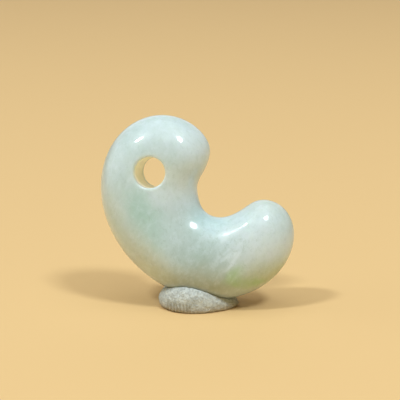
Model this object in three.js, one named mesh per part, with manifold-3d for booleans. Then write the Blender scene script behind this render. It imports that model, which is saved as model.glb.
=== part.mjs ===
// A jade magatama, a comma-shaped bead with a cord hole drilled through its head, standing
// in a thumb-pressed lump of grey putty that cups its belly.
//
// Millimetres, +Z up. The bead's broad front looks along -Y, its head is on the -X side and
// its tail on the +X side. The origin is on the surface that the putty stands on, under the
// middle of the whole thing.

import * as THREE from "three";
import { mergeVertices } from "three/addons/utils/BufferGeometryUtils.js";
import Module from "manifold-3d";

// The bead bends round the eye of its notch. Each half-plane through the eye cuts the body
// in one oval, and these ovals are stated at even steps of angle, from the tip at the head's
// right side, over the crown, down past the hole and the belly, and up to the tip of the
// tail. Angles are in degrees, anticlockwise from +X as the front view shows them.
const HEAD_TIP_ANGLE = 96.6;
const TAIL_TIP_ANGLE = 353.4;
const OVALS = [
  // middle: from the eye to the oval's middle. half: half its width across the body.
  // flatness: its width over its thickness. shift: how much fuller it is on the side away
  // from the eye than at its middle, and below zero how much thinner.
  { place: "head tip", middle: 5.98, half: 0, flatness: 1.18, shift: -0.66 },
  { place: "crown", middle: 8.34, half: 5.51, flatness: 1.34, shift: -0.26 },
  { place: "hole", middle: 9.01, half: 6.64, flatness: 1.39, shift: 0.34 },
  { place: "back", middle: 8.63, half: 6.31, flatness: 1.3, shift: 0.53 },
  { place: "belly", middle: 8.67, half: 5.84, flatness: 1.23, shift: 0.4 },
  { place: "underside", middle: 8.98, half: 5.58, flatness: 1.19, shift: 0.15 },
  { place: "tail", middle: 8.84, half: 4.81, flatness: 1.13, shift: -0.27 },
  { place: "tail tip", middle: 7.32, half: 0, flatness: 1.16, shift: -0.22 },
];
// How far the ovals are filled out towards a slab with round edges, at a half width of 6 mm.
const FULLNESS = 0.27;
const FULL_HALF = 6;

// The cord hole goes straight through, and its two rims are rounded over.
const HOLE_RADIUS = 2.1;
const RIM_ROUND = 0.4;
const HOLE_FROM_EYE = { x: -8.34, z: 2.62 };

// How the bead stands: its top leans back, and its belly hangs just over the surface.
const LEAN_BACK = 10;
const BELLY_HEIGHT = 0.9;

// The putty: a lump with a boxy section and rounder ends, higher under the bead's back than
// under its tail, and pressed down flat on the surface. Its middle is stated from the eye, and
// its waist is the height at which it is widest. Of its middle's height, fall is what the
// tail's end loses and the head's end gains, and droop is what both ends lose. Taper is the
// same as fall, but of its depth.
const PUTTY_LENGTH = 11.1;
const PUTTY_DEPTH = 10.6;
const PUTTY_HEIGHT = 4.45;
const PUTTY_WAIST = 1.03;
const PUTTY_FALL = 0.25;
const PUTTY_DROOP = 0.46;
const PUTTY_TAPER = 0.17;
const PUTTY_END_SQUARENESS = 1.85;
const PUTTY_SECTION_SQUARENESS = 2.6;
const PUTTY_TURN = -2.4;
const PUTTY_FROM_EYE = { x: -1.92, y: -1.72 };
const CONTACT_GAP = 0.15;

// Facets.
const RINGS = 84;
const RING_POINTS = 36;
const HOLE_POINTS = 36;
const RIM_STEPS = 4;
const PUTTY_ROUND = 56;
const PUTTY_RINGS = 28;

const rad = THREE.MathUtils.degToRad;
const wasm = await Module();
wasm.setup();

// The smooth curve through values at even steps, at u from 0 to 1.
function through(values, u) {
  const steps = values.length - 1;
  let sum = 0;
  for (let i = 0; i <= steps; i++) {
    let weight = 1;
    for (let j = 0; j <= steps; j++) {
      if (j !== i) weight *= (u * steps - j) / (i - j);
    }
    sum += weight * values[i];
  }
  return sum;
}

// The body's oval at u, from 0 at the head's tip to 1 at the tail's.
function ovalAt(u) {
  return {
    angle: rad(THREE.MathUtils.lerp(HEAD_TIP_ANGLE, TAIL_TIP_ANGLE, u)),
    middle: through(OVALS.map((oval) => oval.middle), u),
    halfSquared: Math.max(0, through(OVALS.map((oval) => oval.half ** 2), u)),
    flatness: through(OVALS.map((oval) => oval.flatness), u),
    shift: through(OVALS.map((oval) => oval.shift), u),
  };
}

// How much the square of an oval's thickness is changed at a distance across from its middle.
function filledOut(oval, across) {
  const part = across / FULL_HALF;
  return 1 + FULLNESS * part ** 2 + oval.shift * part;
}

// Half the body's thickness at a place of the front view, measured from the eye.
function halfThickness(x, z) {
  const angle = (THREE.MathUtils.radToDeg(Math.atan2(z, x)) + 360) % 360;
  const u = (angle - HEAD_TIP_ANGLE) / (TAIL_TIP_ANGLE - HEAD_TIP_ANGLE);
  const oval = ovalAt(u);
  const across = Math.hypot(x, z) - oval.middle;
  const room = Math.max(0, oval.halfSquared - across ** 2);
  return Math.sqrt(room * filledOut(oval, across)) / oval.flatness;
}

// A closed skin over rings of equally many points, with a point at each end. The rings turn
// anticlockwise as the first end sees them.
function closedLoft(firstPoint, rings, lastPoint) {
  const around = rings[0].length;
  const points = [firstPoint, ...rings.flat(), lastPoint];
  const last = points.length - 1;
  const faces = [];
  const at = (ring, i) => 1 + ring * around + (i % around);
  for (let i = 0; i < around; i++) {
    faces.push(0, at(0, i), at(0, i + 1));
    faces.push(last, at(rings.length - 1, i + 1), at(rings.length - 1, i));
    for (let ring = 0; ring + 1 < rings.length; ring++) {
      const [a, b] = [at(ring, i), at(ring, i + 1)];
      const [c, d] = [at(ring + 1, i), at(ring + 1, i + 1)];
      faces.push(a, c, b, b, c, d);
    }
  }
  const geometry = new THREE.BufferGeometry().setFromPoints(points);
  geometry.setIndex(faces);
  return geometry;
}

// The bead before drilling, round its eye, grown by a margin on every side.
function bodyGeometry(margin) {
  const ringAt = (u) => {
    const oval = ovalAt(u);
    const half = Math.sqrt(oval.halfSquared);
    const ring = [];
    for (let i = 0; i < RING_POINTS; i++) {
      const turn = (-2 * Math.PI * i) / RING_POINTS;
      const across = half * Math.cos(turn);
      const fill = Math.sqrt(filledOut(oval, across));
      const deep = (half * Math.sin(turn) * fill) / oval.flatness;
      const reach = oval.middle + across + margin * Math.cos(turn);
      const y = deep + margin * Math.sin(turn);
      ring.push(new THREE.Vector3(reach * Math.cos(oval.angle), y, reach * Math.sin(oval.angle)));
    }
    return ring;
  };
  const rings = [];
  for (let i = 1; i < RINGS; i++) {
    rings.push(ringAt((1 - Math.cos((Math.PI * i) / RINGS)) / 2));
  }
  const tip = (u, outward) => {
    const { angle, middle } = ovalAt(u);
    const point = new THREE.Vector3(middle * Math.cos(angle), 0, middle * Math.sin(angle));
    const along = new THREE.Vector3(-Math.sin(angle), 0, Math.cos(angle));
    return point.addScaledVector(along, outward * margin);
  };
  return closedLoft(tip(0, -1), rings, tip(1, 1));
}

// The drill that cuts the hole, flared at each face so that the rim comes out rounded.
function drillGeometry() {
  const past = 2;
  const ringAt = (radius, depth) => {
    const ring = [];
    for (let i = 0; i < HOLE_POINTS; i++) {
      const turn = (2 * Math.PI * i) / HOLE_POINTS;
      const x = HOLE_FROM_EYE.x + radius * Math.cos(turn);
      const z = HOLE_FROM_EYE.z + radius * Math.sin(turn);
      ring.push(new THREE.Vector3(x, depth(turn), z));
    }
    return ring;
  };
  const rimHeight = (turn) => {
    const radius = HOLE_RADIUS + RIM_ROUND;
    const x = HOLE_FROM_EYE.x + radius * Math.cos(turn);
    const z = HOLE_FROM_EYE.z + radius * Math.sin(turn);
    return halfThickness(x, z);
  };
  const rings = [];
  for (const side of [-1, 1]) {
    const flare = [];
    for (let step = 0; step <= RIM_STEPS; step++) {
      const bend = ((Math.PI / 2) * step) / (RIM_STEPS + 0.5);
      const radius = HOLE_RADIUS + RIM_ROUND * (1 - Math.cos(bend));
      const drop = RIM_ROUND * (1 - Math.sin(bend));
      flare.push(ringAt(radius, (turn) => side * (rimHeight(turn) - drop)));
    }
    const mouth = HOLE_RADIUS + RIM_ROUND * 2;
    flare.push(ringAt(mouth, (turn) => side * (rimHeight(turn) + RIM_ROUND / 2)));
    flare.push(ringAt(mouth, (turn) => side * (rimHeight(turn) + past)));
    rings.push(...(side < 0 ? flare.reverse() : flare));
  }
  const end = halfThickness(HOLE_FROM_EYE.x, HOLE_FROM_EYE.z) + past;
  const endPoint = (side) => new THREE.Vector3(HOLE_FROM_EYE.x, side * end, HOLE_FROM_EYE.z);
  return closedLoft(endPoint(-1), rings, endPoint(1));
}

// The length of a diagonal as a rounded square measures it: 2 for a circle, more for a square.
function squareSpan(a, b, squareness) {
  return (Math.abs(a) ** squareness + Math.abs(b) ** squareness) ** (1 / squareness);
}

// The lump of putty before the bead is pressed into it, with its middle at the origin.
function lumpGeometry() {
  const geometry = new THREE.SphereGeometry(1, PUTTY_ROUND, PUTTY_RINGS);
  const place = geometry.getAttribute("position");
  const point = new THREE.Vector3();
  for (let i = 0; i < place.count; i++) {
    point.fromBufferAttribute(place, i);
    const section = squareSpan(point.y, point.z, PUTTY_SECTION_SQUARENESS);
    point.divideScalar(squareSpan(point.x, section, PUTTY_END_SQUARENESS));
    const height = PUTTY_WAIST + (PUTTY_HEIGHT - PUTTY_WAIST) * point.z;
    const fall = 1 - PUTTY_FALL * point.x - PUTTY_DROOP * point.x ** 2;
    const taper = 1 - PUTTY_TAPER * point.x;
    const deep = (point.y * taper * PUTTY_DEPTH) / 2;
    place.setXYZ(i, (point.x * PUTTY_LENGTH) / 2, deep, height * fall);
  }
  return geometry.rotateZ(rad(PUTTY_TURN));
}

// A closed geometry as a solid that can be cut.
function solid(geometry) {
  const bare = geometry.clone();
  bare.deleteAttribute("normal");
  bare.deleteAttribute("uv");
  const merged = mergeVertices(bare, 1e-5);
  return new wasm.Manifold(
    new wasm.Mesh({
      numProp: 3,
      vertProperties: new Float32Array(merged.getAttribute("position").array),
      triVerts: new Uint32Array(merged.index.array),
    }),
  );
}

// A solid as a geometry that can be drawn.
function geometryOf(manifold) {
  const { vertProperties, triVerts } = manifold.getMesh();
  const geometry = new THREE.BufferGeometry();
  geometry.setAttribute("position", new THREE.BufferAttribute(vertProperties, 3));
  geometry.setIndex(new THREE.BufferAttribute(triVerts, 1));
  geometry.computeVertexNormals();
  return geometry;
}

// A bead geometry leaned back about its eye and lifted off the surface.
function stoodUp(geometry) {
  const stood = bodyGeometry(0).rotateX(rad(-LEAN_BACK));
  stood.computeBoundingBox();
  const lift = BELLY_HEIGHT - stood.boundingBox.min.z;
  return geometry.rotateX(rad(-LEAN_BACK)).translate(0, 0, lift);
}

function magatama(material) {
  const drilled = solid(bodyGeometry(0)).subtract(solid(drillGeometry()));
  const mesh = new THREE.Mesh(stoodUp(geometryOf(drilled)), material);
  mesh.name = "magatama";
  return mesh;
}

function puttyCradle(material) {
  const table = new THREE.BoxGeometry(4 * PUTTY_LENGTH, 4 * PUTTY_LENGTH, 2 * PUTTY_LENGTH);
  table.translate(0, 0, -PUTTY_LENGTH);
  const lump = lumpGeometry().translate(PUTTY_FROM_EYE.x, PUTTY_FROM_EYE.y, 0);
  const pressed = solid(lump)
    .subtract(solid(table))
    .subtract(solid(stoodUp(bodyGeometry(CONTACT_GAP))));
  const mesh = new THREE.Mesh(geometryOf(pressed), material);
  mesh.name = "putty_cradle";
  return mesh;
}

const jade = new THREE.MeshStandardMaterial({ color: "#c3d3c9", roughness: 0.12, metalness: 0 });
const putty = new THREE.MeshStandardMaterial({ color: "#a3a59d", roughness: 0.85, metalness: 0 });

const figure = new THREE.Group();
figure.add(magatama(jade), puttyCradle(putty));
const middle = new THREE.Box3().setFromObject(figure).getCenter(new THREE.Vector3());
figure.position.set(-middle.x, -middle.y, 0);

export default figure;
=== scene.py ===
import math

import bpy
import numpy as np
from mathutils import Euler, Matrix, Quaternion, Vector


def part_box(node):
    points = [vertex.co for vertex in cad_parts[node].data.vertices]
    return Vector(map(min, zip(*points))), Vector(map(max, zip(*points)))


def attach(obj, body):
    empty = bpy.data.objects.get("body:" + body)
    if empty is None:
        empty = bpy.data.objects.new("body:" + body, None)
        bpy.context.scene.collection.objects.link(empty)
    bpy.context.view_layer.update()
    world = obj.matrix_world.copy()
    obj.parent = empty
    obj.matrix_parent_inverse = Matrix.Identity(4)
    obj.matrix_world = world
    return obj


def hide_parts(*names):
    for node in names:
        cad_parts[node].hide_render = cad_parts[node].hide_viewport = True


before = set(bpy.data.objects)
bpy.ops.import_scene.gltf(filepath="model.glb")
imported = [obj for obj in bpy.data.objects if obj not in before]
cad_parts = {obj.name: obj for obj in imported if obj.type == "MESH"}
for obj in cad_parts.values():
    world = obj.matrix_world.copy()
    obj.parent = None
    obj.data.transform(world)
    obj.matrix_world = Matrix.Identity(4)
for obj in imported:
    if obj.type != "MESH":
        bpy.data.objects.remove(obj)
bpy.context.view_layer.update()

MM = 0.001

# The bead's eight ovals lie in half-planes through the eye of its notch, at even steps of
# angle from the head's tip to the tail's tip: head tip, crown, hole, back, belly, underside,
# tail and tail tip. Lengths are in millimetres, angles in degrees.
HEAD_TIP_ANGLE = 96.6
TAIL_TIP_ANGLE = 353.4
# How far each oval's middle is from the eye, and half of its width.
OVAL_MIDDLE = (5.98, 8.34, 9.01, 8.63, 8.67, 8.98, 8.84, 7.32)
OVAL_HALF = (0, 5.51, 6.64, 6.31, 5.84, 5.58, 4.81, 0)
# Flatness is an oval's width over its thickness. Shift is how much fuller it is on the side
# away from the eye than at its middle, and below zero how much thinner.
OVAL_FLATNESS = (1.18, 1.34, 1.39, 1.3, 1.23, 1.19, 1.13, 1.16)
OVAL_SHIFT = (-0.66, -0.26, 0.34, 0.53, 0.4, 0.15, -0.27, -0.22)
# How far the ovals are filled out towards a slab with round edges, at a half width of 6 mm.
FULLNESS = 0.27
FULL_HALF = 6
# An oval keeps at least this share of its fill, and the curves through the ovals are followed
# a little past the tips, where the tips are at -1 and 1.
LEAST_FILL = 0.4
PAST_TIPS = 1.05
# The cord hole goes straight through, and its two rims are rounded over.
HOLE_FROM_EYE = (-8.34, 2.62)
HOLE_RADIUS = 2.1
RIM_ROUND = 0.42
# The bead's top leans back.
LEAN_BACK = 10

# The putty's lump, with its middle stated from the eye. Its waist is the height at which it is
# widest. Of its middle's height, fall is what the tail's end loses and the head's end gains,
# and droop is what both ends lose. Taper is the same as fall, but of its depth.
PUTTY_FROM_EYE = (-1.92, -1.72)
PUTTY_LENGTH = 11.1
PUTTY_DEPTH = 10.6
PUTTY_HEIGHT = 4.45
PUTTY_WAIST = 1.03
PUTTY_FALL = 0.25
PUTTY_DROOP = 0.46
PUTTY_TAPER = 0.17
PUTTY_END_SQUARENESS = 1.85
PUTTY_SECTION_SQUARENESS = 2.6
PUTTY_TURN = -2.4
LEAST_PUTTY_HEIGHT = 0.1
# The noise value at which crumples and grain move the putty's skin neither in nor out.
LEVEL_NOISE = 0.35
# The bead's imprint in the putty: how many times steeper its distance is than the bead's own,
# what is added to that distance to keep it clear of the bead, and how rounded its edge is. The
# foot is rounded too.
IMPRINT_STEEPNESS = 1.6
IMPRINT_CLEAR = 0.04
IMPRINT_ROUND = 0.25
FOOT_ROUND = 0.5
# The fingerprint on the lump's front: its arcs bend round this place, stated from the lump's
# middle along its length and upwards. Each edge is where it is whole, and where it is gone.
PRINT_MIDDLE = (-5.6, 1.0)
PRINT_PITCH = 0.47
PRINT_LEFT = (-3.4, -4.2)
PRINT_RIGHT = (-1.0, 0.6)
PRINT_TOP = (1.1, 1.9)
PRINT_BACK = (-2.0, -0.6)

# How finely the skins are made: the cells of each, the room left round a piece's box, and the
# step with which slopes are measured for the nudges that move each point on to the skin.
BEAD_CELL = 0.15
PUTTY_CELL = 0.08
BOX_MARGIN = 0.6
SLOPE_STEP = 0.02
NUDGES = 2


# Node work.

FLOAT = "NodeSocketFloat"
VECTOR = "NodeSocketVector"
GEOMETRY = "NodeSocketGeometry"
MATERIAL = "NodeSocketMaterial"


def feed(tree, socket, value):
    """Links one socket to another, or sets its own value."""
    if isinstance(value, bpy.types.NodeSocket):
        tree.links.new(value, socket)
    else:
        socket.default_value = value


def add(tree, kind, inputs=(), **settings):
    """A new node with its settings made and its inputs fed, by name or by number."""
    node = tree.nodes.new(kind)
    for name, value in settings.items():
        setattr(node, name, value)
    for key, value in dict(inputs).items():
        feed(tree, node.inputs[key], value)
    return node


def calc(tree, operation, *values):
    return add(tree, "ShaderNodeMath", enumerate(values), operation=operation).outputs[0]


def clamped(tree, value, least, most):
    return add(tree, "ShaderNodeClamp", {"Value": value, "Min": least, "Max": most}).outputs[0]


def vector(tree, operation, *values):
    node = add(tree, "ShaderNodeVectorMath", enumerate(values), operation=operation)
    return node.outputs["Value" if operation in ("LENGTH", "DOT_PRODUCT") else "Vector"]


def scaled(tree, value, factor):
    node = add(tree, "ShaderNodeVectorMath", {0: value, "Scale": factor}, operation="SCALE")
    return node.outputs["Vector"]


def rotated(tree, place, axis, angle, center=(0, 0, 0)):
    """A place turned round an axis through the center, by an angle in radians."""
    return add(
        tree, "ShaderNodeVectorRotate", {"Vector": place, "Center": center, "Angle": angle},
        rotation_type=axis + "_AXIS",
    ).outputs[0]


def split(tree, place):
    """The x, y and z of a place."""
    return add(tree, "ShaderNodeSeparateXYZ", {0: place}).outputs


def joined(tree, x=0, y=0, z=0):
    return add(tree, "ShaderNodeCombineXYZ", {0: x, 1: y, 2: z}).outputs[0]


def noise(tree, place, scale, detail=2, roughness=0.5, distortion=0):
    return add(
        tree, "ShaderNodeTexNoise",
        {
            "Vector": place, "Scale": scale, "Detail": detail, "Roughness": roughness,
            "Distortion": distortion,
        },
    ).outputs[0]


def ramp(tree, value, low, high, to_low=0, to_high=1):
    """A smooth step between two values."""
    return add(
        tree, "ShaderNodeMapRange",
        {"Value": value, "From Min": low, "From Max": high, "To Min": to_low, "To Max": to_high},
        interpolation_type="SMOOTHSTEP",
    ).outputs[0]


def group(name, kind, inputs, outputs):
    """A node group with named sockets. Returns its tree, what comes in and what goes out."""
    tree = bpy.data.node_groups.new(name, kind)
    for label, (socket_type, default) in inputs.items():
        socket = tree.interface.new_socket(label, in_out="INPUT", socket_type=socket_type)
        if default is not None:
            socket.default_value = default
    for label, socket_type in outputs.items():
        tree.interface.new_socket(label, in_out="OUTPUT", socket_type=socket_type)
    given = tree.nodes.new("NodeGroupInput")
    result = tree.nodes.new("NodeGroupOutput")
    return tree, given.outputs, result.inputs


# The bead's shape.

def curve_through(values):
    """The coefficients of the smooth curve through values at even steps from -1 to 1."""
    return np.linalg.solve(np.vander(np.linspace(-1, 1, len(values))), values).tolist()


MIDDLE_CURVE = curve_through(OVAL_MIDDLE)
HALF_SQUARED_CURVE = curve_through([half ** 2 for half in OVAL_HALF])
FLATNESS_CURVE = curve_through(OVAL_FLATNESS)
SHIFT_CURVE = curve_through(OVAL_SHIFT)


def bead_corner():
    """The lowest corner of the leaned bead's box, from its eye."""
    along = -np.cos(np.linspace(0, math.pi, 241))[:, None]
    turn = np.linspace(0, 2 * math.pi, 241)[None]
    angle = np.radians(HEAD_TIP_ANGLE + (TAIL_TIP_ANGLE - HEAD_TIP_ANGLE) * (along + 1) / 2)
    half = np.sqrt(np.maximum(0, np.polyval(HALF_SQUARED_CURVE, along)))
    across = half * np.cos(turn)
    part_out = across / FULL_HALF
    fill = 1 + FULLNESS * part_out ** 2 + np.polyval(SHIFT_CURVE, along) * part_out
    deep = half * np.sin(turn) * np.sqrt(fill) / np.polyval(FLATNESS_CURVE, along)
    reach = np.polyval(MIDDLE_CURVE, along) + across
    skin = np.stack([reach * np.cos(angle), deep, reach * np.sin(angle)], -1).reshape(-1, 3)
    lean = Euler((math.radians(-LEAN_BACK), 0, 0)).to_matrix()
    return Vector((skin @ np.array(lean).T).min(0))


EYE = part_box("magatama")[0] / MM - bead_corner()
PUTTY_MIDDLE = Vector((EYE.x + PUTTY_FROM_EYE[0], EYE.y + PUTTY_FROM_EYE[1], 0))


def bead_distance_group():
    """How far a place is outside the bead's skin, in millimetres, and below zero inside it."""
    tree, given, result = group(
        "Bead distance", "GeometryNodeTree",
        {
            "Place": (VECTOR, None),
            "Fullness": (FLOAT, FULLNESS),
            "Hole Radius": (FLOAT, HOLE_RADIUS),
            "Rim Round": (FLOAT, RIM_ROUND),
        },
        {"Distance": FLOAT},
    )
    from_eye = vector(tree, "SUBTRACT", given["Place"], EYE)
    x, y, z = split(tree, rotated(tree, from_eye, "X", math.radians(LEAN_BACK)))
    angle = calc(tree, "DEGREES", calc(tree, "ARCTAN2", z, x))
    middle_of_notch = (HEAD_TIP_ANGLE + TAIL_TIP_ANGLE) / 2 - 180
    angle = calc(tree, "WRAP", angle, middle_of_notch + 360, middle_of_notch)
    along = add(
        tree, "ShaderNodeMapRange",
        {
            "Value": angle, "From Min": HEAD_TIP_ANGLE, "From Max": TAIL_TIP_ANGLE,
            "To Min": -1, "To Max": 1,
        },
        clamp=False,
    ).outputs[0]
    along = clamped(tree, along, -PAST_TIPS, PAST_TIPS)

    def on_curve(coefficients):
        value = coefficients[0]
        for coefficient in coefficients[1:]:
            value = calc(tree, "MULTIPLY_ADD", value, along, coefficient)
        return value

    def square(value):
        return calc(tree, "MULTIPLY", value, value)

    def span(a, b):
        return calc(tree, "SQRT", calc(tree, "ADD", square(a), square(b)))

    across = calc(tree, "SUBTRACT", span(x, z), on_curve(MIDDLE_CURVE))
    part_out = calc(tree, "DIVIDE", across, FULL_HALF)
    fill = calc(tree, "MULTIPLY_ADD", given["Fullness"], part_out, on_curve(SHIFT_CURVE))
    fill = calc(tree, "MAXIMUM", calc(tree, "MULTIPLY_ADD", fill, part_out, 1), LEAST_FILL)
    deep = square(calc(tree, "MULTIPLY", y, on_curve(FLATNESS_CURVE)))
    beyond = calc(tree, "ADD", calc(tree, "DIVIDE", deep, fill), square(across))
    beyond = calc(tree, "SUBTRACT", beyond, on_curve(HALF_SQUARED_CURVE))
    # The widest oval's slope turns squared millimetres into about millimetres.
    body = calc(tree, "DIVIDE", beyond, 2 * OVAL_HALF[2] * OVAL_FLATNESS[2])
    from_hole = span(
        calc(tree, "SUBTRACT", x, HOLE_FROM_EYE[0]), calc(tree, "SUBTRACT", z, HOLE_FROM_EYE[1])
    )
    hole = calc(tree, "SUBTRACT", given["Hole Radius"], from_hole)
    pierced = calc(tree, "SMOOTH_MAX", body, hole, given["Rim Round"])
    feed(tree, result["Distance"], pierced)
    return tree


def skin_tree(name, distance_group, sizes, low, high):
    """A tree that makes the skin where a distance is zero, between two corners in millimetres.

    The distance is sampled in cells, and each point of the skin is then moved on to it.
    """
    tree, given, result = group(
        name, "GeometryNodeTree",
        {
            "Geometry": (GEOMETRY, None),
            "Cell": (FLOAT, 0.2),
            "Material": (MATERIAL, None),
            **{label: (FLOAT, value) for label, value in sizes.items()},
        },
        {"Geometry": GEOMETRY},
    )

    def distance(place):
        values = {label: given[label] for label in sizes}
        node = add(tree, "GeometryNodeGroup", node_tree=distance_group)
        for label, value in {"Place": place, **values}.items():
            feed(tree, node.inputs[label], value)
        return node.outputs["Distance"]

    place = tree.nodes.new("GeometryNodeInputPosition").outputs[0]
    density = clamped(tree, calc(tree, "SUBTRACT", 1, distance(place)), 0, 2)
    cells = [
        calc(tree, "CEIL", calc(tree, "DIVIDE", side, given["Cell"])) for side in high - low
    ]
    volume = add(
        tree, "GeometryNodeVolumeCube",
        {
            "Density": density, "Min": low, "Max": high,
            "Resolution X": cells[0], "Resolution Y": cells[1], "Resolution Z": cells[2],
        },
    )
    skin = add(
        tree, "GeometryNodeVolumeToMesh", {"Volume": volume.outputs[0], "Threshold": 1},
        resolution_mode="GRID",
    ).outputs[0]
    axes = ((SLOPE_STEP, 0, 0), (0, SLOPE_STEP, 0), (0, 0, SLOPE_STEP))
    for _ in range(NUDGES):
        here = distance(place)
        slopes = []
        for axis in axes:
            rise = calc(tree, "SUBTRACT", distance(vector(tree, "ADD", place, axis)), here)
            slopes.append(calc(tree, "DIVIDE", rise, SLOPE_STEP))
        slope = joined(tree, *slopes)
        steepness = vector(tree, "DOT_PRODUCT", slope, slope)
        back = calc(tree, "DIVIDE", calc(tree, "MULTIPLY", here, -1), steepness)
        skin = add(
            tree, "GeometryNodeSetPosition",
            {"Geometry": skin, "Offset": scaled(tree, slope, back)},
        ).outputs[0]
    for kind, inputs in (
        ("GeometryNodeTransform", {"Scale": (MM, MM, MM)}),
        ("GeometryNodeRealizeInstances", {}),
        ("GeometryNodeSetShadeSmooth", {}),
        ("GeometryNodeSetMaterial", {"Material": given["Material"]}),
    ):
        skin = add(tree, kind, {"Geometry": skin, **inputs}).outputs[0]
    feed(tree, result["Geometry"], skin)
    return tree


def grown(name, tree, values):
    """Runs a tree on an empty mesh, and keeps what it makes as a plain piece."""
    piece = bpy.data.objects.new(name, bpy.data.meshes.new(name))
    bpy.context.collection.objects.link(piece)
    modifier = piece.modifiers.new(tree.name, "NODES")
    modifier.node_group = tree
    for socket in tree.interface.items_tree:
        if socket.in_out == "INPUT" and socket.name in values:
            modifier[socket.identifier] = values[socket.name]
    shown = piece.evaluated_get(bpy.context.evaluated_depsgraph_get())
    mesh = bpy.data.meshes.new_from_object(shown)
    piece.modifiers.clear()
    piece.data = mesh
    mesh.name = name
    return piece


# The putty's shape.

def square_span(tree, a, b, squareness):
    """The length of a diagonal as a rounded square measures it."""
    total = 0
    for side in (a, b):
        power = calc(tree, "POWER", calc(tree, "ABSOLUTE", side), squareness)
        total = calc(tree, "ADD", total, power)
    return calc(tree, "POWER", total, 1 / squareness)


def turned_with_putty(tree, place):
    """A place from the putty's middle, along the lump's own length and depth."""
    from_middle = vector(tree, "SUBTRACT", place, PUTTY_MIDDLE)
    return rotated(tree, from_middle, "Z", math.radians(-PUTTY_TURN))


def fingerprint_group(kind):
    """The ridges that a fingertip left, from 0 to 1, and how firmly it pressed."""
    tree, given, result = group(
        "Fingerprint", kind,
        {"Place": (VECTOR, None), "Pitch": (FLOAT, PRINT_PITCH)},
        {"Ridges": FLOAT, "Pressed": FLOAT},
    )
    x, y, z = split(tree, given["Place"])
    middle = (PRINT_MIDDLE[0], 0, PRINT_MIDDLE[1])
    from_middle = vector(tree, "SUBTRACT", joined(tree, x, 0, z), middle)
    wander = calc(tree, "MULTIPLY", noise(tree, given["Place"], 0.5, 1), 0.5)
    away = calc(tree, "ADD", vector(tree, "LENGTH", from_middle), wander)
    turns = calc(tree, "DIVIDE", away, given["Pitch"])
    wave = calc(tree, "SINE", calc(tree, "MULTIPLY", turns, 2 * math.pi))
    wave = calc(tree, "MULTIPLY_ADD", wave, 0.5, 0.5)
    pressed = 1
    edges = ((x, PRINT_LEFT), (x, PRINT_RIGHT), (z, PRINT_TOP), (y, PRINT_BACK))
    for value, (whole, gone) in edges:
        pressed = calc(tree, "MULTIPLY", pressed, ramp(tree, value, whole, gone, 1, 0))
    feed(tree, result["Ridges"], calc(tree, "MULTIPLY", wave, pressed))
    feed(tree, result["Pressed"], pressed)
    return tree


def putty_distance_group(bead_distance, fingerprint):
    """How far a place is outside the pressed lump of putty, in millimetres."""
    tree, given, result = group(
        "Putty distance", "GeometryNodeTree",
        {
            "Place": (VECTOR, None),
            "Crumple": (FLOAT, 0.3),
            "Grain": (FLOAT, 0.05),
            "Ridges": (FLOAT, 0.05),
        },
        {"Distance": FLOAT},
    )
    turned = turned_with_putty(tree, given["Place"])
    x, y, z = split(tree, turned)
    part_x = calc(tree, "DIVIDE", x, PUTTY_LENGTH / 2)
    taper = calc(tree, "MULTIPLY_ADD", part_x, -PUTTY_TAPER, 1)
    part_y = calc(tree, "DIVIDE", calc(tree, "DIVIDE", y, PUTTY_DEPTH / 2), taper)
    fall = calc(tree, "MULTIPLY_ADD", part_x, -PUTTY_DROOP, -PUTTY_FALL)
    height = calc(tree, "MULTIPLY_ADD", fall, part_x, 1)
    height = calc(tree, "MAXIMUM", height, LEAST_PUTTY_HEIGHT)
    part_z = calc(tree, "SUBTRACT", calc(tree, "DIVIDE", z, height), PUTTY_WAIST)
    part_z = calc(tree, "DIVIDE", part_z, PUTTY_HEIGHT - PUTTY_WAIST)
    section = square_span(tree, part_y, part_z, PUTTY_SECTION_SQUARENESS)
    lump = square_span(tree, part_x, section, PUTTY_END_SQUARENESS)
    lump = calc(tree, "MULTIPLY", calc(tree, "SUBTRACT", lump, 1), PUTTY_HEIGHT)
    crumple = noise(tree, turned, 0.75, 1.5, 0.5, 0.4)
    grain = noise(tree, turned, 2.6, 2, 0.6, 0.8)
    ridges = add(tree, "GeometryNodeGroup", {"Place": turned}, node_tree=fingerprint).outputs[0]
    for depth, amount in (
        (calc(tree, "SUBTRACT", crumple, LEVEL_NOISE), given["Crumple"]),
        (calc(tree, "SUBTRACT", grain, LEVEL_NOISE), given["Grain"]),
        (ridges, given["Ridges"]),
    ):
        lump = calc(tree, "ADD", lump, calc(tree, "MULTIPLY", depth, amount))
    bead = add(tree, "GeometryNodeGroup", node_tree=bead_distance)
    feed(tree, bead.inputs["Place"], given["Place"])
    imprint = calc(
        tree, "MULTIPLY_ADD", bead.outputs["Distance"], -IMPRINT_STEEPNESS, IMPRINT_CLEAR
    )
    pressed = calc(tree, "SMOOTH_MAX", lump, imprint, IMPRINT_ROUND)
    on_table = calc(tree, "SMOOTH_MAX", pressed, calc(tree, "MULTIPLY", z, -1), FOOT_ROUND)
    feed(tree, result["Distance"], on_table)
    return tree


# Finishes.

def material(name):
    made = bpy.data.materials.new(name)
    made.use_nodes = True
    made.node_tree.nodes.clear()
    shader = add(made.node_tree, "ShaderNodeBsdfPrincipled")
    end = add(made.node_tree, "ShaderNodeOutputMaterial")
    made.node_tree.links.new(shader.outputs[0], end.inputs[0])
    return made, made.node_tree, shader


def mixed(tree, amount, first, second):
    """Two colours mixed, where 0 is the first and 1 the second."""
    node = tree.nodes.new("ShaderNodeMix")
    node.data_type = "RGBA"
    for socket, value in ((0, amount), (6, first), (7, second)):
        feed(tree, node.inputs[socket], value)
    return node.outputs[2]


def bumped(tree, height, strength, distance):
    """The normal of a surface with a slight relief, its distance in metres."""
    return add(
        tree, "ShaderNodeBump", {"Height": height, "Strength": strength, "Distance": distance}
    ).outputs[0]


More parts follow.
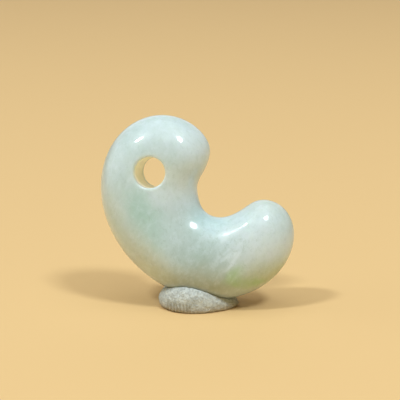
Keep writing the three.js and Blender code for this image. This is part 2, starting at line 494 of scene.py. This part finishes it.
def place_group():
    """Where a surface is, in millimetres."""
    tree, _, result = group("Place", "ShaderNodeTree", {}, {"Place": VECTOR})
    spot = tree.nodes.new("ShaderNodeTexCoord").outputs["Object"]
    feed(tree, result["Place"], scaled(tree, spot, 1 / MM))
    return tree


def ragged_group():
    """A place pushed about by a slow noise and a fine one, to give what it marks ragged edges."""
    tree, given, result = group(
        "Ragged place", "ShaderNodeTree",
        {"Place": (VECTOR, None), "Slow Push": (FLOAT, 2), "Fine Push": (FLOAT, 0.6)},
        {"Place": VECTOR},
    )
    place = given["Place"]
    for scale, push in ((0.28, given["Slow Push"]), (1.3, given["Fine Push"])):
        pushed = add(
            tree, "ShaderNodeTexNoise", {"Vector": given["Place"], "Scale": scale, "Detail": 3}
        ).outputs["Color"]
        pushed = vector(tree, "SUBTRACT", pushed, (0.5, 0.5, 0.5))
        pushed = scaled(tree, pushed, calc(tree, "MULTIPLY", push, 2))
        place = vector(tree, "ADD", place, pushed)
    feed(tree, result["Place"], place)
    return tree


def cloud_group():
    """A soft cloud round one place, which may be longer one way than the other and lean."""
    tree, given, result = group(
        "Cloud", "ShaderNodeTree",
        {
            "Place": (VECTOR, None),
            "Middle": (VECTOR, (0, 0, 0)),
            "Reach": (VECTOR, (3, 3, 3)),
            "Lean": (FLOAT, 0),
        },
        {"Mask": FLOAT},
    )
    lean = calc(tree, "RADIANS", given["Lean"])
    leaned = rotated(tree, given["Place"], "Y", lean, given["Middle"])
    away = vector(tree, "SUBTRACT", leaned, given["Middle"])
    away = vector(tree, "LENGTH", vector(tree, "DIVIDE", away, given["Reach"]))
    feed(tree, result["Mask"], ramp(tree, away, 0.2, 1.15, 1, 0))
    return tree


def fleck_group():
    """Fine crystal flecks, from 0 to 1, all drawn out the same way."""
    tree, given, result = group(
        "Flecks", "ShaderNodeTree",
        {
            "Place": (VECTOR, None),
            "Lean": (FLOAT, 25),
            "Closeness": (FLOAT, 1.6),
            "Least": (FLOAT, 0.5),
        },
        {"Mask": FLOAT},
    )
    leaned = rotated(tree, given["Place"], "Y", calc(tree, "RADIANS", given["Lean"]))
    drawn = vector(tree, "MULTIPLY", leaned, (1, 1, 0.7))
    flecks = noise(tree, drawn, given["Closeness"], 5, 0.75, 0.3)
    most = calc(tree, "ADD", given["Least"], 0.3)
    feed(tree, result["Mask"], ramp(tree, flecks, given["Least"], most))
    return tree


def vein_group():
    """Thin pale streaks that run side by side through the stone, from 0 to 1."""
    tree, given, result = group(
        "Veins", "ShaderNodeTree",
        {
            "Place": (VECTOR, None),
            "Lean": (FLOAT, -40),
            "Closeness": (FLOAT, 0.8),
            "Length": (FLOAT, 6),
        },
        {"Mask": FLOAT},
    )
    lean = calc(tree, "RADIANS", given["Lean"])
    x, y, z = split(tree, rotated(tree, given["Place"], "Y", lean))
    drawn = joined(tree, x, y, calc(tree, "DIVIDE", z, given["Length"]))
    streaks = noise(tree, drawn, given["Closeness"], 2, 0.55)
    feed(tree, result["Mask"], ramp(tree, streaks, 0.47, 0.68))
    return tree


def speckle_group():
    """Fine grains, from 0 to 1, in two sizes."""
    tree, given, result = group(
        "Speckle", "ShaderNodeTree",
        {"Place": (VECTOR, None), "Grains": (FLOAT, 2), "Fine Grains": (FLOAT, 7)},
        {"Mask": FLOAT},
    )
    coarse = noise(tree, given["Place"], given["Grains"], 3, 0.6, 0.3)
    fine = add(
        tree, "ShaderNodeTexVoronoi",
        {"Vector": given["Place"], "Scale": given["Fine Grains"]}, feature="SMOOTH_F1",
    ).outputs["Distance"]
    both = calc(tree, "MULTIPLY_ADD", fine, 0.35, calc(tree, "MULTIPLY", coarse, 0.8))
    feed(tree, result["Mask"], ramp(tree, both, 0.38, 0.72))
    return tree


def hole_wall_group():
    """How surely a place is on the drilled wall of the cord hole, and the drill's marks there."""
    tree, given, result = group(
        "Hole wall", "ShaderNodeTree",
        {
            "Place": (VECTOR, None),
            "Radius": (FLOAT, HOLE_RADIUS),
            "Edge": (FLOAT, 0.25),
            "Depth": (FLOAT, 4.7),
        },
        {"Mask": FLOAT, "Marks": FLOAT},
    )
    upright = rotated(tree, given["Place"], "X", math.radians(LEAN_BACK))
    x, y, z = split(tree, upright)
    x = calc(tree, "SUBTRACT", x, HOLE_FROM_EYE[0])
    z = calc(tree, "SUBTRACT", z, HOLE_FROM_EYE[1])
    from_hole = vector(tree, "LENGTH", joined(tree, x, z))
    past = calc(tree, "SUBTRACT", from_hole, given["Radius"])
    on_wall = ramp(tree, past, 0.05, given["Edge"], 1, 0)
    deep = calc(tree, "ABSOLUTE", y)
    inside = ramp(tree, deep, calc(tree, "SUBTRACT", given["Depth"], 2.2), given["Depth"], 1, 0)
    feed(tree, result["Mask"], calc(tree, "MULTIPLY", on_wall, inside))
    around = vector(tree, "MULTIPLY", upright, (0.12, 1, 0.12))
    feed(tree, result["Marks"], ramp(tree, noise(tree, around, 2.4, 3, 0.6), 0.35, 0.65))
    return tree


place_tree = place_group()
ragged_tree = ragged_group()
cloud_tree = cloud_group()
fleck_tree = fleck_group()
vein_tree = vein_group()
speckle_tree = speckle_group()
hole_wall_tree = hole_wall_group()
print_tree = fingerprint_group("ShaderNodeTree")


def effect(tree, effect_tree, **inputs):
    """What a shader group gives, with its inputs fed by name."""
    node = add(tree, "ShaderNodeGroup", node_tree=effect_tree)
    for name, value in inputs.items():
        feed(tree, node.inputs[name.replace("_", " ")], value)
    return node.outputs[0]


# The jade's colours.
STONE = (0.56, 0.69, 0.73, 1)
MILK = (0.73, 0.85, 0.95, 1)
GREY_GREEN = (0.4, 0.53, 0.52, 1)
DARK_FLECK = (0.33, 0.46, 0.44, 1)
TEAL = (0.42, 0.64, 0.68, 1)
SEA_GREEN = (0.36, 0.6, 0.55, 1)
LEAF_GREEN = (0.35, 0.57, 0.29, 1)
OLIVE = (0.5, 0.57, 0.36, 1)
DRAB_PAINTED_SHADE = (0.37, 0.42, 0.34, 1)
SAND = (0.56, 0.6, 0.48, 1)
DUSK = (0.56, 0.62, 0.56, 1)
# Painted light on the hole's wall: these honey colours are brighter and warmer than the stone's
# own and also glow, standing in for light coming through the stone and warm bounce light. Which
# of the two shows follows the drill's marks.
PAINTED_GLOW_HONEY = (0.95, 0.9, 0.66, 1)
PAINTED_GLOW_DARK_HONEY = (0.84, 0.77, 0.55, 1)
NO_GLOW = (0, 0, 0, 1)

# The clouds in the stone: where each has its middle, from the eye, and how far it reaches, in
# millimetres, how far its top leans towards the head, in degrees, how strong it is, and its
# colour. Three clouds low down are painted shade or partly painted warm bounce, as noted.
CLOUDS = {
    "milky crown": ((-2, -0.8, 6.9), (4.5, 6, 4), 0, 0.35, MILK),
    "milky arm": ((7.2, -4.3, -5.8), (5.6, 6, 3.8), 0, 0.5, MILK),
    "milky rim under the hole": ((-6.7, -4.8, 0), (3.4, 4, 1.6), 20, 0.4, MILK),
    "milky far side": ((-8.3, 4.2, -6.6), (6, 4, 4), 0, 0.5, MILK),
    "milky neck": ((-3.6, -4, 0.8), (3, 5, 4), 0, 0.45, MILK),
    "dusky tail top": ((6.9, -0.8, -1.2), (4, 5, 2.6), 0, 0.5, DUSK),
    "grey neck": ((-3.2, -4, -3.2), (2.8, 5, 4), 40, 0.45, GREY_GREEN),
    "teal waist": ((-0.6, -4, -3), (3.4, 5, 2.4), 0, 0.5, TEAL),
    "grey belly": ((-1.2, -5.8, -8.4), (4.2, 4, 5.4), 50, 0.75, GREY_GREEN),
    "grey far side": ((4.7, 4.2, -7.6), (5, 3, 3), 0, 0.5, GREY_GREEN),
    "green back": ((-9.4, -5, -1.4), (2, 5, 3.8), 40, 0.5, SEA_GREEN),
    "green below it": ((-8.3, -5.3, -4), (3.2, 5, 5), 40, 0.35, SEA_GREEN),
    "green far side": ((-10.3, 4.2, 1.4), (2.4, 3, 5), 30, 0.6, SEA_GREEN),
    "teal far side": ((-0.6, 5, -6.2), (4.5, 4, 3), -20, 0.5, TEAL),
    "milky far head": ((-5.4, 5, 5.6), (4, 4, 2.6), 20, 0.5, MILK),
    "leaf far side": ((-4.6, 5, -10), (2.6, 4, 1.8), 30, 0.55, LEAF_GREEN),
    "sandy far side": ((-11.6, 4.6, -4.4), (2.6, 4, 4.4), 20, 0.5, SAND),
    # Partly the stone's own sandy tone, partly painted warm bounce light from below.
    "sandy back": ((-7.9, -5.8, -8.3), (3, 6, 6), 45, 0.55, SAND),
    "olive flank": ((-12.7, -2, -3.6), (3.4, 5, 6), 0, 0.3, OLIVE),
    # Partly the stone's own olive tone, partly painted warm bounce light on the tail's underside.
    "olive tail": ((7.7, -2.8, -10.4), (6, 6, 2.8), 0, 0.6, OLIVE),
    # Painted shade: the belly's lowest part, over the putty, darkened in its colour.
    "drab belly": ((-1.7, -4.8, -11.8), (7.5, 8, 4), 0, 0.8, DRAB_PAINTED_SHADE),
    "leaf patch": ((3.3, -5.8, -9.9), (1.5, 4, 1.8), -30, 0.65, LEAF_GREEN),
    "leaf edge": ((4.2, -4.6, -11), (3.2, 4, 1.1), 0, 0.5, LEAF_GREEN),
    "leaf spot": ((6.4, -3.2, -11.1), (1.4, 4, 0.9), 0, 0.75, LEAF_GREEN),
}

# Where the stone is veined, where it is mottled with dark flecks, and where its polish is
# duller, stated as the clouds are.
VEINED_MIDDLES = ((3.6, -5.8, -7), (-7.4, 5, -4.6))
VEINED_REACH = (4.5, 5, 3.6)
MOTTLED_MIDDLE = (-0.8, -5.8, -6.6)
MOTTLED_REACH = (8, 5, 7)
DULL_MIDDLE = (2.6, -4.4, -4.6)
DULL_REACH = (5, 6, 4)

# How strong each of these is, where 1 covers what lies under it.
DRIFT_STRENGTH = 0.2
VEIN_STRENGTH = 0.6
PALE_FLECK_STRENGTH = 0.3
DARK_FLECK_STRENGTH = 0.3
MORE_WHERE_MOTTLED = 0.35
WALL_GLOW_STRENGTH = 0.85
# The polish is a coat, which the dull place and the hole's wall lose in part. The wall is also
# rougher than the smudged skin, and the drill's marks stand out on it.
COAT = 0.7
COAT_LOST_WHERE_DULL = 0.6
COAT_LOST_ON_WALL = 0.85
SMUDGED_ROUGHNESS = (0.32, 0.4)
WALL_ROUGHER = 0.2
MARK_HEIGHT = 8
# What is the same all over the jade. The scale is in metres.
JADE_FINISH = {
    # The strength of the painted glow, which only the hole's wall gives.
    "Emission Strength": 0.12,
    "Coat Roughness": 0.06,
    "Specular IOR Level": 0.35,
    "IOR": 1.5,
    "Subsurface Weight": 0.6,
    "Subsurface Radius": (1, 1.1, 0.9),
    "Subsurface Scale": 0.0026,
}


def jade():
    """Polished stone that lets some light in. The hole's drilled wall has a painted glow in
    warmer colours, and some low clouds are painted shade or warm bounce.
    """
    made, tree, shader = material("jade")
    place = vector(tree, "SUBTRACT", effect(tree, place_tree), EYE)
    ragged = effect(tree, ragged_tree, Place=place, Slow_Push=1.2, Fine_Push=0.3)
    drift = ramp(tree, noise(tree, place, 0.2, 3, 0.55, 0.5), 0.3, 0.75)
    colour = mixed(tree, calc(tree, "MULTIPLY", drift, DRIFT_STRENGTH), STONE, GREY_GREEN)
    for name, (middle, reach, lean, strength, cloud_colour) in CLOUDS.items():
        mask = effect(tree, cloud_tree, Place=ragged, Middle=middle, Reach=reach, Lean=lean)
        mask.node.label = name
        colour = mixed(tree, calc(tree, "MULTIPLY", mask, strength), colour, cloud_colour)
    veins = effect(tree, vein_tree, Place=place)
    for middle in VEINED_MIDDLES:
        streaked = effect(tree, cloud_tree, Place=ragged, Middle=middle, Reach=VEINED_REACH)
        amount = calc(tree, "MULTIPLY", veins, streaked)
        colour = mixed(tree, calc(tree, "MULTIPLY", amount, VEIN_STRENGTH), colour, MILK)
    pale = effect(tree, fleck_tree, Place=place, Lean=-30, Closeness=1.1, Least=0.42)
    colour = mixed(tree, calc(tree, "MULTIPLY", pale, PALE_FLECK_STRENGTH), colour, MILK)
    mottled = effect(
        tree, cloud_tree, Place=ragged, Middle=MOTTLED_MIDDLE, Reach=MOTTLED_REACH
    )
    much = calc(tree, "MULTIPLY_ADD", mottled, MORE_WHERE_MOTTLED, DARK_FLECK_STRENGTH)
    dark = effect(tree, fleck_tree, Place=place, Lean=10, Closeness=1.9, Least=0.46)
    colour = mixed(tree, calc(tree, "MULTIPLY", dark, much), colour, DARK_FLECK)
    hole = add(tree, "ShaderNodeGroup", {"Place": place}, node_tree=hole_wall_tree).outputs
    wall = hole["Mask"]
    # The hole's wall gets painted light: warm colours that follow the drill's marks, and glow as
    # well.
    wall_marks_and_painted_glow = mixed(tree, hole["Marks"], PAINTED_GLOW_HONEY, PAINTED_GLOW_DARK_HONEY)
    colour = mixed(tree, calc(tree, "MULTIPLY", wall, WALL_GLOW_STRENGTH), colour, wall_marks_and_painted_glow)
    feed(tree, shader.inputs["Base Color"], colour)
    # Painted glow on the hole's wall, standing in for light through the stone.
    feed(tree, shader.inputs["Emission Color"], mixed(tree, wall, NO_GLOW, wall_marks_and_painted_glow))
    smudges = ramp(tree, noise(tree, place, 0.35, 3, 0.6), 0.4, 0.7, *SMUDGED_ROUGHNESS)
    roughness = calc(tree, "MULTIPLY_ADD", wall, WALL_ROUGHER, smudges)
    feed(tree, shader.inputs["Roughness"], roughness)
    dull = effect(tree, cloud_tree, Place=place, Middle=DULL_MIDDLE, Reach=DULL_REACH)
    coat = calc(tree, "MULTIPLY_ADD", dull, -COAT_LOST_WHERE_DULL, COAT)
    off_wall = calc(tree, "MULTIPLY_ADD", wall, -COAT_LOST_ON_WALL, 1)
    feed(tree, shader.inputs["Coat Weight"], calc(tree, "MULTIPLY", coat, off_wall))
    scored = calc(tree, "MULTIPLY", wall, hole["Marks"])
    relief = calc(tree, "MULTIPLY_ADD", scored, MARK_HEIGHT, noise(tree, place, 1.1, 2, 0.5))
    feed(tree, shader.inputs["Normal"], bumped(tree, relief, 0.06, 0.00002))
    for name, value in JADE_FINISH.items():
        shader.inputs[name].default_value = value
    return made


PUTTY_PALE = (0.66, 0.73, 0.73, 1)
PUTTY_GREY = (0.45, 0.5, 0.5, 1)
# Painted shade in the fingerprint's grooves.
PUTTY_VALLEY_SHADE = (0.28, 0.28, 0.23, 1)
# Painted shade and painted warm bounce light towards the putty's foot.
PUTTY_FOOT_SHADE_AND_BOUNCE = (0.38, 0.28, 0.14, 1)
VALLEY_SHADE_STRENGTH = 0.75
FOOT_SHADE_STRENGTH = 0.85
FOOT_SHADE_REACH = (14, 14, 1.65)
FOOT_SHADE_DEPTH = 0.4


def putty():
    """Matt grained putty, with painted shade between the fingerprint's ridges, and painted shade
    and warm bounce light towards its foot.
    """
    made, tree, shader = material("putty")
    place = effect(tree, place_tree)
    grains = effect(tree, speckle_tree, Place=place, Grains=1.6, Fine_Grains=4)
    colour = mixed(tree, grains, PUTTY_PALE, PUTTY_GREY)
    turned = turned_with_putty(tree, place)
    fingerprint = add(tree, "ShaderNodeGroup", {"Place": turned}, node_tree=print_tree).outputs
    # The grooves between the fingerprint's ridges get painted shade.
    valley_shade = calc(tree, "SUBTRACT", fingerprint["Pressed"], fingerprint["Ridges"])
    colour = mixed(tree, calc(tree, "MULTIPLY", valley_shade, VALLEY_SHADE_STRENGTH), colour, PUTTY_VALLEY_SHADE)
    # The putty is painted darker and warmer towards its foot: painted shade and painted warm
    # bounce.
    foot_shade_middle = (PUTTY_MIDDLE.x, 0, -FOOT_SHADE_DEPTH)
    foot = effect(tree, cloud_tree, Place=place, Middle=foot_shade_middle, Reach=FOOT_SHADE_REACH)
    colour = mixed(tree, calc(tree, "MULTIPLY", foot, FOOT_SHADE_STRENGTH), colour, PUTTY_FOOT_SHADE_AND_BOUNCE)
    feed(tree, shader.inputs["Base Color"], colour)
    feed(tree, shader.inputs["Roughness"], ramp(tree, grains, 0, 1, 0.62, 0.85))
    nap = noise(tree, place, 4.5, 4, 0.7)
    feed(tree, shader.inputs["Normal"], bumped(tree, nap, 0.9, 0.0002))
    return made


# The camera, the floor and the light. Azimuths go from -Y towards +X, in degrees, and
# distances are in metres.

CAMERA_AZIMUTH = 6.5
CAMERA_ELEVATION = 12
CAMERA_DISTANCE = 0.205
CAMERA_LENS = 135
CAMERA_SENSOR = 36
AIM = Vector((0.00034, 0.00086, 0.01425))

FLOOR_HALF = 3
FLOOR_COLOUR = (0.74, 0.505, 0.235, 1)
FLOOR_ROUGHNESS = 0.7
ROOM_COLOUR = (1, 0.76, 0.38, 1)
ROOM_STRENGTH = 0.27

# The lamps: azimuth from the camera's, elevation, distance, width, height, power in watts, and
# how far each is turned on its own axis, in degrees.
LAMP_COLOUR = (0.86, 0.95, 1)
LAMPS = {
    "left_lamp": (-52.4, 54.6, 1.2, 0.2, 0.12, 5.7, 38),
    "right_lamp": (39.1, 56.7, 1, 0.2, 0.2, 4.3, 0),
    "overhead": (0, 86, 2, 2.2, 2.2, 15.3, 0),
    "left_side": (-95, 20, 2, 2.2, 1.4, 6, 0),
    "back_glow": (180, 22, 2, 3, 1.2, 5, 0),
}


def toward(azimuth, elevation):
    """The unit vector out of the part at an azimuth and an elevation."""
    a, e = math.radians(azimuth), math.radians(elevation)
    return Vector((math.sin(a) * math.cos(e), -math.cos(a) * math.cos(e), math.sin(e)))


def camera():
    lens = bpy.data.cameras.new("camera")
    lens.lens = CAMERA_LENS
    lens.sensor_width = CAMERA_SENSOR
    lens.clip_start = 0.01
    lens.clip_end = 10
    made = bpy.data.objects.new("camera", lens)
    bpy.context.collection.objects.link(made)
    back = toward(CAMERA_AZIMUTH, CAMERA_ELEVATION)
    made.location = AIM + back * CAMERA_DISTANCE
    made.rotation_euler = back.to_track_quat("Z", "Y").to_euler()
    bpy.context.scene.camera = made


def lamp(name, from_camera, elevation, distance, width, height, power, turn):
    """An oval lamp that shines at the part."""
    light = bpy.data.lights.new(name, "AREA")
    light.shape = "ELLIPSE"
    light.size = width
    light.size_y = height
    light.energy = power
    light.color = LAMP_COLOUR
    made = bpy.data.objects.new(name, light)
    bpy.context.collection.objects.link(made)
    out = toward(CAMERA_AZIMUTH + from_camera, elevation)
    made.location = AIM + out * distance
    spin = Quaternion((0, 0, 1), math.radians(turn))
    made.rotation_euler = (out.to_track_quat("Z", "Y") @ spin).to_euler()


def floor():
    mesh = bpy.data.meshes.new("floor")
    corners = [
        (x * FLOOR_HALF, y * FLOOR_HALF, 0) for x, y in ((-1, -1), (1, -1), (1, 1), (-1, 1))
    ]
    mesh.from_pydata(corners, [], [(0, 1, 2, 3)])
    piece = bpy.data.objects.new("floor", mesh)
    bpy.context.collection.objects.link(piece)
    made, _, shader = material("pale floor")
    shader.inputs["Base Color"].default_value = FLOOR_COLOUR
    shader.inputs["Roughness"].default_value = FLOOR_ROUGHNESS
    mesh.materials.append(made)


def surroundings():
    world = bpy.data.worlds.new("room")
    world.use_nodes = True
    background = world.node_tree.nodes["Background"]
    background.inputs["Color"].default_value = ROOM_COLOUR
    background.inputs["Strength"].default_value = ROOM_STRENGTH
    bpy.context.scene.world = world
    bpy.context.scene.view_settings.view_transform = "Standard"


camera()
surroundings()
floor()
for lamp_name, values in LAMPS.items():
    lamp(lamp_name, *values)


# The two pieces.

def room_round(node):
    """The corners of a node's box in millimetres, with some room round it."""
    low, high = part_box(node)
    around = Vector((BOX_MARGIN, BOX_MARGIN, BOX_MARGIN))
    return low / MM - around, high / MM + around


bead_distance = bead_distance_group()
bead_sizes = {"Fullness": FULLNESS, "Hole Radius": HOLE_RADIUS, "Rim Round": RIM_ROUND}
bead_tree = skin_tree("Bead", bead_distance, bead_sizes, *room_round("magatama"))
bead = grown("bead", bead_tree, {"Cell": BEAD_CELL, "Material": jade(), **bead_sizes})

# How far the putty's crumples, grain and ridges stand out, in millimetres.
putty_sizes = {"Crumple": 0.25, "Grain": 0.13, "Ridges": 0.1}
putty_distance = putty_distance_group(bead_distance, fingerprint_group("GeometryNodeTree"))
putty_tree = skin_tree("Putty", putty_distance, putty_sizes, *room_round("putty_cradle"))
lump = grown("putty_lump", putty_tree, {"Cell": PUTTY_CELL, "Material": putty(), **putty_sizes})

for piece, node, slot in ((bead, "magatama", "jade"), (lump, "putty_cradle", "putty")):
    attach(piece, "root")
    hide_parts(node)
